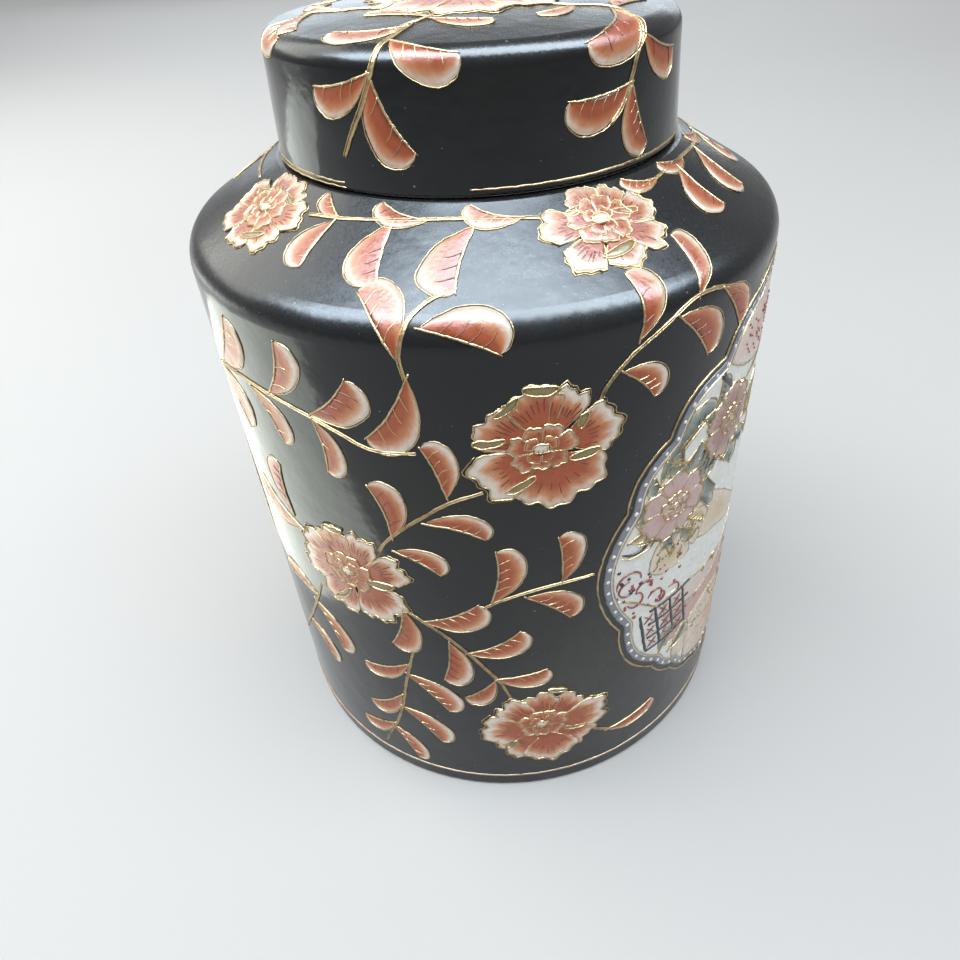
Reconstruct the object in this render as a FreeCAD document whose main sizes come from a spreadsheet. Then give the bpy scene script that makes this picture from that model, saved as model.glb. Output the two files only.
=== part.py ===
import FreeCAD, Part
import os

import Sketcher
from FreeCAD import Vector

# Covered ginger jar in two loose pieces: a straight-sided porcelain jar with a sloping shoulder and an upright neck,
# and a deep cap lid that drops over the neck and stands on a flat ledge round its foot.
#
# The frame has +Z up and its origin at the centre of the foot ring's standing face. Sizes are in millimetres.

# Driving dimensions: alias, value in millimetres, what it is.
SIZES = [
    ("total_height", 254.0, "standing face to the crown of the lid"),
    ("body_radius", 91.5, "outside of the straight wall"),
    ("wall", 5.2, "thickness of the wall and of the neck"),
    ("shoulder_height", 197.8, "where the wall meets the shoulder slope, before rounding"),
    ("shoulder_round", 9.6, "outer rounding between wall and shoulder"),
    ("seat_height", 216.7, "flat ledge that the lid stands on"),
    ("seat_radius", 60.4, "outer edge of that ledge"),
    ("seat_round", 2.0, "softening of the ledge's outer edge"),
    ("neck_radius", 53.0, "outside of the neck"),
    ("neck_top", 240.0, "top of the neck"),
    ("neck_foot_round", 1.5, "glaze fillet where the neck leaves the ledge"),
    ("rim_round", 1.8, "rounding of the neck's rim"),
    ("inside_shoulder", 194.0, "where the inside wall meets the inside slope, before rounding"),
    ("inside_round", 8.0, "inside rounding between wall and shoulder"),
    ("throat_height", 213.0, "where the inside slope meets the bore of the neck"),
    ("throat_round", 4.0, "rounding of that edge"),
    ("floor_top", 8.0, "height of the inside floor"),
    ("floor_round", 11.0, "inside rounding between floor and wall"),
    ("foot_inside", 80.5, "inside radius of the foot ring"),
    ("foot_recess", 3.5, "how far the base is hollowed inside the foot ring"),
    ("foot_round", 1.2, "rounding of the foot ring's edges"),
    ("recess_round", 2.5, "inside rounding of the hollowed base"),
    ("lid_gap", 0.3, "air between the lid's rim and the ledge"),
    ("lid_rim_radius", 59.4, "outside of the lid at its rim"),
    ("lid_edge_radius", 58.1, "outside of the lid where side and crown meet, before rounding"),
    ("lid_crown", 4.4, "rise of the crown above that edge"),
    ("lid_round", 5.2, "outer rounding between the lid's side and crown"),
    ("lid_wall", 3.8, "thickness of the lid"),
    ("lid_inside_round", 3.0, "inside rounding between the lid's side and crown"),
    ("lid_rim_round", 1.0, "rounding of the lid's rim"),
]

FAULTS = ("Invalid", "Error")
CLOSE = 1e-4


class Size:
    """A length that knows its value and the sheet expression that gives it."""

    def __init__(self, value, text):
        self.value = value
        self.text = text

    def __add__(self, other):
        return Size(self.value + other.value, f"{self.text} + {other.text}")

    def __sub__(self, other):
        return Size(self.value - other.value, f"{self.text} - ({other.text})")


ZERO = Size(0.0, "0")


def make_sheet(doc):
    """The spreadsheet that holds every driving dimension, and the same dimensions by alias for this script."""
    sheet = doc.addObject("Spreadsheet::Sheet", "sizes")
    known = {}
    for row, (alias, value, note) in enumerate(SIZES, start=1):
        sheet.set(f"A{row}", alias)
        sheet.set(f"B{row}", str(value))
        sheet.setAlias(f"B{row}", alias)
        sheet.set(f"C{row}", note)
        known[alias] = Size(value, f"sizes.{alias}")
    doc.recompute()
    return known


def crown_arc(edge, crown):
    """The arc centred on the axis that runs from an edge point up to the crown point."""
    rise = crown.y - edge.y
    radius = (edge.x**2 + rise**2) / (2 * rise)
    centre = Vector(0, crown.y - radius, 0)
    start = (edge - centre).getAngle(Vector(1, 0, 0))
    circle = Part.Circle(centre, Vector(0, 0, 1), radius)
    return Part.ArcOfCircle(circle, start, Vector(0, 1, 0).getAngle(Vector(1, 0, 0)))


def half_section(body, name, corners, crowns=()):
    """A closed half section in the body's XZ plane, given as (radius, height) pairs of Size.

    crowns holds the index of each corner after which the outline follows a crown arc. An arc's first end is always
    its outer one, whichever way the outline runs.
    """
    sketch = body.newObject("Sketcher::SketchObject", name)
    plane = next(f for f in body.Origin.OriginFeatures if f.Role == "XZ_Plane")
    sketch.AttachmentSupport = [(plane, "")]
    sketch.MapMode = "FlatFace"
    points = [Vector(radius.value, height.value, 0) for radius, height in corners]
    count = len(points)
    first, last = [], []
    for i, here in enumerate(points):
        there = points[(i + 1) % count]
        inward = there.x < here.x
        if i not in crowns:
            sketch.addGeometry(Part.LineSegment(here, there))
        else:
            sketch.addGeometry(crown_arc(here, there) if inward else crown_arc(there, here))
        turned = i in crowns and not inward
        first.append(2 if turned else 1)
        last.append(1 if turned else 2)
    for i, (radius, height) in enumerate(corners):
        before = (i - 1) % count
        sketch.addConstraint(Sketcher.Constraint("Coincident", before, last[before], i, first[i]))
        hold(sketch, "DistanceX", i, first[i], radius)
        hold(sketch, "DistanceY", i, first[i], height)
    for i in crowns:
        sketch.addConstraint(Sketcher.Constraint("PointOnObject", i, 3, -2))
    return sketch


def hold(sketch, kind, edge, end, size):
    """Holds one coordinate of an edge's end at a size, or on the sketch's own axis where the size is zero."""
    if size is ZERO:
        axis = -2 if kind == "DistanceX" else -1
        sketch.addConstraint(Sketcher.Constraint("PointOnObject", edge, end, axis))
        return
    index = sketch.addConstraint(Sketcher.Constraint(kind, -1, 1, edge, end, size.value))
    name = f"{'radius' if kind == 'DistanceX' else 'height'}_{edge}"
    sketch.renameConstraint(index, name)
    sketch.setExpression(f"Constraints.{name}", size.text)


def turn(doc, body, sketch):
    """Turns a half section round the body's upright axis."""
    solid = body.newObject("PartDesign::Revolution", sketch.Name + "_turned")
    solid.Profile = sketch
    solid.ReferenceAxis = (sketch, ["V_Axis"])
    solid.Angle = 360
    sketch.Visibility = False
    doc.recompute()
    return solid


def round_edge(doc, body, name, radius, height, size):
    """Rounds the body's circular edge of that radius and height, measured in the body's own frame."""
    base = body.Tip
    edges = [
        f"Edge{i}"
        for i, edge in enumerate(base.Shape.Edges, start=1)
        if not edge.Degenerated
        and isinstance(edge.Curve, Part.Circle)
        and abs(edge.Curve.Radius - radius.value) < CLOSE
        and abs(edge.Curve.Center.z - height.value) < CLOSE
    ]
    if not edges:
        raise RuntimeError(f"{name}: no edge of radius {radius.value} at height {height.value}")
    fillet = body.newObject("PartDesign::Fillet", name)
    fillet.Base = (base, edges)
    fillet.setExpression("Radius", size.text)
    doc.recompute()


def make_jar(doc, size):
    """The jar: foot ring, straight wall, sloping shoulder, flat ledge and upright neck, all one fired piece."""
    body = doc.addObject("PartDesign::Body", "jar_body")
    body.Label = "jar_body"
    inside = size["body_radius"] - size["wall"]
    bore = size["neck_radius"] - size["wall"]
    outline = [
        (size["foot_inside"], ZERO),
        (size["body_radius"], ZERO),
        (size["body_radius"], size["shoulder_height"]),
        (size["seat_radius"], size["seat_height"]),
        (size["neck_radius"], size["seat_height"]),
        (size["neck_radius"], size["neck_top"]),
        (bore, size["neck_top"]),
        (bore, size["throat_height"]),
        (inside, size["inside_shoulder"]),
        (inside, size["floor_top"]),
        (ZERO, size["floor_top"]),
        (ZERO, size["foot_recess"]),
        (size["foot_inside"], size["foot_recess"]),
    ]
    turn(doc, body, half_section(body, "jar_section", outline))
    roundings = [
        ("shoulder_rounding", size["body_radius"], size["shoulder_height"], size["shoulder_round"]),
        ("ledge_softening", size["seat_radius"], size["seat_height"], size["seat_round"]),
        ("neck_foot_fillet", size["neck_radius"], size["seat_height"], size["neck_foot_round"]),
        ("rim_outer_rounding", size["neck_radius"], size["neck_top"], size["rim_round"]),
        ("rim_inner_rounding", bore, size["neck_top"], size["rim_round"]),
        ("throat_rounding", bore, size["throat_height"], size["throat_round"]),
        ("inside_shoulder_rounding", inside, size["inside_shoulder"], size["inside_round"]),
        ("inside_floor_rounding", inside, size["floor_top"], size["floor_round"]),
        ("foot_outer_rounding", size["body_radius"], ZERO, size["foot_round"]),
        ("foot_inner_rounding", size["foot_inside"], ZERO, size["foot_round"]),
        ("recess_rounding", size["foot_inside"], size["foot_recess"], size["recess_round"]),
    ]
    for name, radius, height, amount in roundings:
        round_edge(doc, body, name, radius, height, amount)
    return body


def make_lid(doc, size):
    """The cap lid, drawn from its own rim upwards and then placed just above the jar's ledge."""
    body = doc.addObject("PartDesign::Body", "lid")
    body.Label = "lid"
    crown = size["total_height"] - (size["seat_height"] + size["lid_gap"])
    edge = crown - size["lid_crown"]
    ceiling = crown - size["lid_wall"]
    inside_edge = edge - size["lid_wall"]
    inside_rim_radius = size["lid_rim_radius"] - size["lid_wall"]
    inside_edge_radius = size["lid_edge_radius"] - size["lid_wall"]
    outline = [
        (size["lid_rim_radius"], ZERO),
        (size["lid_edge_radius"], edge),
        (ZERO, crown),
        (ZERO, ceiling),
        (inside_edge_radius, inside_edge),
        (inside_rim_radius, ZERO),
    ]
    turn(doc, body, half_section(body, "lid_section", outline, crowns=(1, 3)))
    roundings = [
        ("lid_shoulder_rounding", size["lid_edge_radius"], edge, size["lid_round"]),
        ("lid_inside_rounding", inside_edge_radius, inside_edge, size["lid_inside_round"]),
        ("lid_rim_outer_rounding", size["lid_rim_radius"], ZERO, size["lid_rim_round"]),
        ("lid_rim_inner_rounding", inside_rim_radius, ZERO, size["lid_rim_round"]),
    ]
    for name, radius, height, amount in roundings:
        round_edge(doc, body, name, radius, height, amount)
    body.setExpression("Placement.Base.z", "sizes.seat_height + sizes.lid_gap")
    doc.recompute()
    return body


def check(doc, parts):
    """Stops the build if any object failed or any sub-part isn't one sound solid."""
    for thing in doc.Objects:
        if any(fault in thing.State for fault in FAULTS):
            raise RuntimeError(f"{thing.Label} failed: {thing.State}")
    for part in parts:
        shape = part.Shape
        if shape.isNull() or not shape.isValid() or len(shape.Solids) != 1:
            raise RuntimeError(f"{part.Label} is not one valid solid")


def main():
    doc = FreeCAD.newDocument("ginger_jar")
    size = make_sheet(doc)
    parts = [make_jar(doc, size), make_lid(doc, size)]
    check(doc, parts)
    os.makedirs("parts", exist_ok=True)
    for part in parts:
        part.Shape.exportStep(f"parts/{part.Label}.step")
        print(f"{part.Label}: {len(part.Shape.Faces)} faces, {part.Shape.Volume / 1000:.1f} cm3")


main()
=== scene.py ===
import math
import random

import bmesh
import bpy
import numpy as np
from mathutils import Matrix, Vector


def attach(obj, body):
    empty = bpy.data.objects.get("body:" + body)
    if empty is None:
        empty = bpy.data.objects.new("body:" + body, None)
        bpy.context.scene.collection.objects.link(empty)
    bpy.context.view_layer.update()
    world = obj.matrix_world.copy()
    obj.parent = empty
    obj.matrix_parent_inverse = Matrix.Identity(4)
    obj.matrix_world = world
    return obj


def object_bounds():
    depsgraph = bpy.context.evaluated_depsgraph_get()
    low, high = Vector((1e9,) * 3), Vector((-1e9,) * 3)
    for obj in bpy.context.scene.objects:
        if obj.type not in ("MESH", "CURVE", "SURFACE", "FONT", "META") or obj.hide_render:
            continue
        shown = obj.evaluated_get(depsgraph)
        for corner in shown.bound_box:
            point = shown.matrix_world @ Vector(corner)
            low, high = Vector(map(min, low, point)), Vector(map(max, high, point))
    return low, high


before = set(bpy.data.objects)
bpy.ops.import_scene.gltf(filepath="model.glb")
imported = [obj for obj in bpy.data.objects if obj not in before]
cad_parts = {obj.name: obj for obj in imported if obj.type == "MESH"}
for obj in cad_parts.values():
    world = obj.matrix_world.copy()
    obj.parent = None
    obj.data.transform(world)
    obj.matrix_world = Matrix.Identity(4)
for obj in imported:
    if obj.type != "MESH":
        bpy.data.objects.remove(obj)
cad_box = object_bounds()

# Looks of a covered ginger jar. Its painting is laid out by turn and run on the outside of each turned piece.
# Turn is degrees round the axis from the front (-Y) towards +X.
# Run is millimetres along the outside, up from its lower edge.

MM = 0.001
rng = random.Random(7)

# ---- The two turned outlines, in millimetres

JAR_RADIUS = 500 * (cad_box[1][0] - cad_box[0][0])
JAR_SHOULDER = 197.8
JAR_SHOULDER_ROUND = 9.6
LEDGE = (60.4, 216.7)
LID_RIM = (59.4, 217.0)
LID_EDGE = (58.1, 249.6)
LID_TOP = 1000 * cad_box[1][2]
LID_ROUND = 5.2
# The white lining starts inside the porcelain: at a depth under its outside, or at a radius or a height.
JAR_DEPTH = 2.6
SHOULDER_DEPTH = 3.0
LID_DEPTH = 1.9
NECK_MIDDLE = 50.5
THROAT = 212.0
# The porcelain is bare below the first height and above the second.
FOOT_RING_TOP = 0.9
NECK_LIP = 239.2
BEHIND = 180  # the turn from the front to the back


def arc_points(centre, radius, start, end, count):
    """Points of an arc in the (radius, height) plane, from one angle to another, in degrees."""
    angles = np.radians(np.linspace(start, end, count))
    return [(centre[0] + radius * math.cos(a), centre[1] + radius * math.sin(a)) for a in angles]


def jar_outline():
    """Wall, rounded shoulder and slope up to the ledge."""
    slope = math.degrees(math.atan2(JAR_RADIUS - LEDGE[0], LEDGE[1] - JAR_SHOULDER))
    setback = JAR_SHOULDER_ROUND * math.tan(math.radians(slope / 2))
    centre = (JAR_RADIUS - JAR_SHOULDER_ROUND, JAR_SHOULDER - setback)
    return [(JAR_RADIUS, 0)] + arc_points(centre, JAR_SHOULDER_ROUND, 0, slope, 24) + [LEDGE]


def lid_outline():
    """Side, rounded edge and the crown, which is part of a sphere centred on the axis."""
    rise = LID_TOP - LID_EDGE[1]
    ball = (LID_EDGE[0] ** 2 + rise**2) / (2 * rise)
    ball_centre = LID_TOP - ball
    lean = math.atan2(LID_RIM[0] - LID_EDGE[0], LID_EDGE[1] - LID_RIM[1])
    height = LID_EDGE[1] - LID_ROUND
    for _ in range(20):
        reach = LID_RIM[0] - (height - LID_RIM[1]) * math.tan(lean) - LID_ROUND / math.cos(lean)
        height = ball_centre + math.sqrt((ball - LID_ROUND) ** 2 - reach**2)
    start = math.degrees(lean)
    end = math.degrees(math.atan2(height - ball_centre, reach))
    crown = arc_points((0, ball_centre), ball, end, 90, 60)
    return [LID_RIM] + arc_points((reach, height), LID_ROUND, start, end, 24) + crown[1:]


class Turned:
    """The outside of a turned piece, addressed by turn and run, or from above by x and y."""

    def __init__(self, outline):
        points = np.array(outline, float)
        steps = np.diff(points, axis=0)
        lengths = np.hypot(*steps.T)
        self.run = np.concatenate([[0], np.cumsum(lengths)])
        self.radius, self.height = points.T
        normals = np.column_stack([steps[:, 1], -steps[:, 0]]) / lengths[:, None]
        joints = np.vstack([normals[:1], normals[:-1] + normals[1:], normals[-1:]])
        self.normal = joints / np.linalg.norm(joints, axis=1)[:, None]

    def place(self, turn, run, lift):
        """Points in metres for arrays of turn in radians, and run and lift in millimetres."""
        radius = np.interp(run, self.run, self.radius) + lift * np.interp(run, self.run, self.normal[:, 0])
        height = np.interp(run, self.run, self.height) + lift * np.interp(run, self.run, self.normal[:, 1])
        return np.column_stack([radius * np.sin(turn), -radius * np.cos(turn), height]) * MM

    def radius_at(self, run):
        return float(np.interp(run, self.run, self.radius))

    def patch(self, turn, run):
        """A drawing board on the wall at that spot, which maps x, y and lift in millimetres to points."""
        radius = self.radius_at(run)

        def board(x, y, lift):
            return self.place(math.radians(turn) + np.asarray(x) / radius, run + np.asarray(y), lift)

        return board

    def top(self, x0, y0, turned=0):
        """A drawing board that lies on the crown, seen from above."""
        cos, sin = math.cos(math.radians(turned)), math.sin(math.radians(turned))

        def board(x, y, lift):
            east, north = np.asarray(x) + x0, np.asarray(y) + y0
            east, north = east * cos - north * sin, east * sin + north * cos
            run = np.interp(-np.hypot(east, north), -self.radius, self.run)
            return self.place(np.arctan2(east, -north), run, lift)

        return board


JAR = Turned(jar_outline())
LID = Turned(lid_outline())


def shifted(board, x0, y0):
    """The same drawing board with its middle moved."""
    return lambda x, y, lift: board(np.asarray(x) + x0, np.asarray(y) + y0, lift)


# ---- Drawing in millimetres on a board

SINK = 0.12  # how far a layer reaches down into the glaze, so that no gap shows under it
CORAL = (0.39, 0.078, 0.020)
CORAL_DEEP = (0.17, 0.036, 0.012)
PEACH = (0.60, 0.25, 0.105)
IVORY = (0.78, 0.70, 0.61)
OLIVE = (0.27, 0.21, 0.09)
MAUVE = (0.36, 0.20, 0.17)
LILAC = (0.58, 0.42, 0.40)
LAVENDER = (0.23, 0.235, 0.265)
WHITE = (0.80, 0.83, 0.80)
SAGE = (0.11, 0.15, 0.13)
SAGE_PALE = (0.30, 0.36, 0.33)
OCHRE = (0.62, 0.48, 0.27)
ROSE = (0.60, 0.30, 0.24)
BRICK = (0.30, 0.06, 0.05)
INK = (0.035, 0.03, 0.03)
GOLD_TINT = (0.5, 0.5, 0.5)  # gilding takes its colour from its own material


def mix(a, b, share):
    share = min(max(share, 0.0), 1.0)
    return tuple(p + (q - p) * share for p, q in zip(a, b))


def ramp(stops, share):
    """A colour from a list of (position, colour) stops."""
    for (low, before), (high, after) in zip(stops, stops[1:]):
        if share <= high:
            return mix(before, after, (share - low) / (high - low))
    return stops[-1][1]


def smooth(points, step=0.9, closed=False):
    """A Catmull-Rom curve through points, sampled about every step millimetres."""
    p = [np.array(q, float) for q in points]
    if len(p) == 2:
        count = max(2, math.ceil(np.linalg.norm(p[1] - p[0]) / step))
        return [p[0] + (p[1] - p[0]) * i / count for i in range(count + 1)]
    if closed:
        p = [p[-1]] + p + p[:2]
    else:
        p = [2 * p[0] - p[1]] + p + [2 * p[-1] - p[-2]]
    out = []
    for a, b, c, d in zip(p, p[1:], p[2:], p[3:]):
        count = max(2, math.ceil(np.linalg.norm(c - b) / step))
        for i in range(count):
            t = i / count
            out.append(b + 0.5 * t * (c - a + t * (2 * a - 5 * b + 4 * c - d + t * (3 * b - a - 3 * c + d))))
    return out if closed else out + [p[-2]]


def sideways(points, closed=False):
    """Unit normals to the left of a polyline."""
    p = np.array(points)
    if closed:
        along = np.roll(p, -1, axis=0) - np.roll(p, 1, axis=0)
    else:
        along = np.gradient(p, axis=0)
    along /= np.maximum(np.linalg.norm(along, axis=1), 1e-9)[:, None]
    return np.column_stack([-along[:, 1], along[:, 0]])


class Layer:
    """Raised decoration that becomes one piece: a set of closed solids, each point with a colour."""

    def __init__(self, name, body, material, slot):
        self.name, self.body, self.material, self.slot = name, body, material, slot
        self.points, self.tints, self.faces = [], [], []
        self.count = 0

    def add(self, points, faces, tints):
        self.points.append(points)
        self.tints.extend(tints)
        self.faces.extend(tuple(i + self.count for i in f) for f in faces)
        self.count += len(points)

    def sheet(self, board, x, y, lift, tints, wrap=False):
        """A closed plate under a grid of points. x, y and lift are 2-D arrays.

        wrap joins the last row to the first, and closes the middle of the ring with a small face.
        """
        rows, columns = x.shape
        top = board(x.ravel(), y.ravel(), lift.ravel())
        bottom = board(x.ravel(), y.ravel(), np.full(x.size, -SINK))
        size = rows * columns
        faces = []
        for i in range(rows if wrap else rows - 1):
            for j in range(columns - 1):
                a, b = i * columns + j, (i + 1) % rows * columns + j
                faces.append((a, b, b + 1, a + 1))
                faces.append((a + size, a + 1 + size, b + 1 + size, b + size))
        rim = [[i * columns + j for i in range(rows)] for j in (0, columns - 1)]
        if wrap:
            loops = [rim[0] + rim[0][:1]]
            faces.append(tuple(rim[1]))
            faces.append(tuple(i + size for i in reversed(rim[1])))
        else:
            ends = [[i * columns + j for j in range(columns)] for i in (0, rows - 1)]
            loops = [rim[0], ends[1], rim[1][::-1], ends[0][::-1]]
        for loop in loops:
            for a, b in zip(loop, loop[1:]):
                faces.append((b, a, a + size, b + size))
        self.add(np.vstack([top, bottom]), faces, tints + tints)

    def loft(self, board, inner, outer, across, lift, tint):
        """A plate between two curves with as many points, domed across and sunk at its edges."""
        inner, outer = np.array(inner), np.array(outer)
        share = np.linspace(0, 1, across + 1)
        grid = inner[:, None, :] * (1 - share)[None, :, None] + outer[:, None, :] * share[None, :, None]
        along = np.linspace(0, 1, len(inner))
        dome = np.minimum(1, 0.35 + 2.2 * np.sqrt(np.outer(along * (1 - along), share * (1 - share)) * 4) / 2)
        tints = [tint(u, v) for u in along for v in share]
        self.sheet(board, grid[..., 0], grid[..., 1], lift * dome, tints)

    def blob(self, board, outline, lift, tint, step=0.9, rings=5, closed_curve=True, edge_lift=0.4):
        """A domed plate inside a closed outline. tint takes 0 at the middle and 1 at the edge."""
        edge = np.array(smooth(outline, step, closed=True) if closed_curve else outline)
        middle = edge.mean(axis=0)
        shares = np.linspace(1, 0.04, rings + 1)
        grid = middle + (edge - middle)[:, None, :] * shares[None, :, None]
        dome = lift * (edge_lift + (1 - edge_lift) * np.sqrt(1 - shares**2 * 0.999))
        lifts = np.broadcast_to(dome, grid.shape[:2])
        tints = [tint(s) for _ in edge for s in shares]
        self.sheet(board, grid[..., 0], grid[..., 1], lifts, tints, wrap=True)

    def stroke(self, board, points, width, lift, tint=GOLD_TINT, taper=(0.5, 0.5), closed=False, wobble=0.0):
        """A raised brush line along points. taper gives the share of the width at each end."""
        p = np.array(points, float)
        side = sideways(p, closed)
        count = len(p)
        if wobble:
            p = p + side * np.array([rng.gauss(0, wobble) for _ in range(count)])[:, None]
        share = np.linspace(0, 1, count)
        narrow = np.ones(count)
        if not closed:
            ease = np.clip(share / 0.22, 0, 1), np.clip((1 - share) / 0.22, 0, 1)
            narrow = (taper[0] + (1 - taper[0]) * ease[0]) * (taper[1] + (1 - taper[1]) * ease[1])
        half = 0.5 * width * narrow * np.array([1 + rng.uniform(-0.12, 0.12) for _ in range(count)])
        rows = []
        for across, up in ((-1, 0.1), (-0.5, 0.88), (0.5, 0.88), (1, 0.1)):
            q = p + side * (half * across)[:, None]
            rows.append(board(q[:, 0], q[:, 1], lift * up * np.sqrt(narrow)))
        rows.append(board(p[:, 0], p[:, 1], np.full(count, -SINK)))
        sides = len(rows)
        points3 = np.stack(rows, axis=1).reshape(-1, 3)
        faces = []
        for i in range(count if closed else count - 1):
            j = (i + 1) % count
            for k in range(sides):
                m = (k + 1) % sides
                faces.append((i * sides + k, i * sides + m, j * sides + m, j * sides + k))
        if not closed:
            faces.append(tuple(range(sides))[::-1])
            faces.append(tuple((count - 1) * sides + k for k in range(sides)))
        self.add(points3, faces, [tint] * len(points3))

    def dot(self, board, x, y, radius, lift, tint):
        angles = np.linspace(0, math.tau, 9)[:-1]
        ring = [(x + radius * math.cos(a), y + radius * math.sin(a)) for a in angles]
        self.blob(board, ring, lift, lambda share: tint, step=radius, rings=3, closed_curve=False)

    def finish(self):
        """Makes the piece, welds its points, turns its faces outwards and lets it ride on its body."""
        mesh = bpy.data.meshes.new(self.name)
        mesh.from_pydata(np.vstack(self.points).tolist(), [], self.faces)
        colour = mesh.color_attributes.new("tint", "FLOAT_COLOR", "POINT")
        rgba = np.column_stack([np.array(self.tints), np.ones(len(self.tints))])
        colour.data.foreach_set("color", rgba.astype(np.float32).ravel())
        work = bmesh.new()
        work.from_mesh(mesh)
        bmesh.ops.remove_doubles(work, verts=work.verts, dist=2e-6)
        bmesh.ops.dissolve_degenerate(work, edges=work.edges, dist=1e-7)
        bmesh.ops.recalc_face_normals(work, faces=work.faces)
        work.to_mesh(mesh)
        work.free()
        mesh.shade_smooth()
        mesh.materials.append(self.material)
        piece = bpy.data.objects.new(self.name, mesh)
        bpy.context.scene.collection.objects.link(piece)
        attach(piece, self.body)


# ---- Motifs

LEAF_BELLY = (
    (0, 0), (0.12, 0.34), (0.36, 0.82), (0.64, 1.04), (0.9, 0.96), (1.06, 0.58), (1.06, 0.2), (1, 0),
)
LEAF_TINT = ((0.0, CORAL_DEEP), (0.12, CORAL), (0.40, CORAL), (0.66, PEACH), (0.86, IVORY), (1.0, IVORY))
LEAF_LIFT = 0.32
LINE_LIFT = 0.42


def leaf(paint, gold, board, start, reach, side, plump=0.45, stops=LEAF_TINT, lift=LEAF_LIFT):
    """A crescent leaf from start along reach, whose belly lies to the side: 1 left of its way, -1 right."""
    start, reach = np.array(start, float), np.array(reach, float)
    across = side * np.array([-reach[1], reach[0]])
    bow = rng.uniform(0.03, 0.08)
    plump *= rng.uniform(0.95, 1.10)

    def at(along, out):
        return start + reach * along + across * out

    belly_points = [at(a, plump * o * rng.uniform(0.96, 1.04)) for a, o in LEAF_BELLY]
    belly = smooth(belly_points, 1.0)
    shares = np.linspace(0, 1, len(belly))
    spine = [at(t, bow * math.sin(math.pi * t)) for t in shares]
    blush = rng.uniform(-0.06, 0.06)

    def tint(u, v):
        return ramp(stops, v * (0.72 + 0.34 * u) + blush + rng.uniform(-0.03, 0.03))

    paint.loft(board, spine, belly, 8, lift, tint)
    middle = [at(t, bow * math.sin(math.pi * t)) for t in (0.12, 0.35, 0.6, 0.85)]
    edge = smooth([at(-0.06, 0.0)] + middle + [at(1.03, -0.015)])
    gold.stroke(board, edge, 0.7, lift + 0.1, taper=(0.9, 0.5), wobble=0.05)
    away = sideways(belly) * side
    gap = rng.uniform(0.25, 0.45)
    outline = np.array(belly) + away * gap * np.sin(math.pi * shares)[:, None] ** 0.5
    gold.stroke(board, outline, 0.32, lift, taper=(0.7, 0.5), wobble=0.06)
    vein, layer = (stops[0][1], paint) if rng.random() < 0.4 else (GOLD_TINT, gold)
    for t in (0.24, 0.42, 0.6, 0.78):
        if rng.random() < 0.25:
            continue
        root = at(t, bow * math.sin(math.pi * t))
        mid = at(t + 0.09, bow + plump * 0.26)
        end = at(t + 0.12, bow + plump * rng.uniform(0.36, 0.58))
        layer.stroke(board, smooth([root, mid, end], 0.7), 0.3, lift + 0.12, vein, taper=(1, 0.3))


PETAL_TINT = ((0.0, CORAL_DEEP), (0.22, CORAL), (0.54, CORAL), (0.74, PEACH), (0.90, IVORY), (1.0, IVORY))


def petal(
    paint, gold, board, centre, way, spread, near, far, pale, lift,
    stops=PETAL_TINT, strokes=8, deep=CORAL_DEEP,
):
    """A fan-shaped petal with a ruffled gilt edge.

    way and spread are degrees, and deep, the colour of its brush strokes, is None where they are gilt.
    """
    lobes = max(2, round(spread / 17))
    phase = rng.uniform(0, math.tau)
    count = max(14, round(math.radians(2 * spread) * far / 0.8))

    def spot(u, v):
        swing = 2 * u - 1
        angle = math.radians(way + spread * swing * (0.62 + 0.38 * v))
        wave = math.tau * lobes * u
        ruffle = 1 + 0.045 * math.sin(wave + phase) + 0.03 * math.sin(2.3 * wave)
        edge = far * (0.60 + 0.40 * math.sqrt(max(0.0, 1 - abs(swing) ** 3.4))) * ruffle
        reach = near + (edge - near) * v
        return np.array([centre[0] + reach * math.cos(angle), centre[1] + reach * math.sin(angle)])

    shares = np.linspace(0, 1, count)
    columns = max(6, round((far - near) / 1.1))
    outward = np.linspace(0, 1, columns)
    rows = np.array([[spot(u, v) for v in outward] for u in shares])
    dome = np.tile(0.75 + 0.25 * np.sin(math.pi * outward), (count, 1))
    tints = []
    for u in shares:
        for v in outward:
            side = abs(2 * u - 1) ** 2
            tone = v * (0.80 + 0.22 * pale) + 0.14 * pale * side * v + rng.uniform(-0.03, 0.03)
            tints.append(ramp(stops, tone * (1 - 0.35 * side * (1 - v))))
    paint.sheet(board, rows[..., 0], rows[..., 1], lift * dome, tints)
    for k in range(strokes):
        u = (k + 0.5 + rng.uniform(-0.2, 0.2)) / strokes
        inner, outer = rng.uniform(0.36, 0.5) if deep else 0.15, rng.uniform(0.66, 0.9)
        line = [spot(u, inner + (outer - inner) * t) for t in np.linspace(0, 1, 7)]
        layer, colour = (paint, deep) if deep else (gold, GOLD_TINT)
        layer.stroke(board, line, 0.7 if deep else 0.4, lift + 0.07, colour, taper=(0.7, 0.15))
    flanks = (0.35, 0.6, 0.8)
    rim = [spot(u, 1.015) for u in shares[1:-1]]
    edge = [spot(0, v) for v in flanks] + rim + [spot(1, v) for v in flanks[::-1]]
    gold.stroke(board, edge, 0.48, lift + 0.14, taper=(0.9, 0.9), wobble=0.07)
    if pale > 0.5:
        outer_line = [spot(u, 1.075) for u in shares[2:-2]]
        gold.stroke(board, outer_line, 0.35, LINE_LIFT * 0.7, taper=(0.3, 0.3), wobble=0.08)


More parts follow.
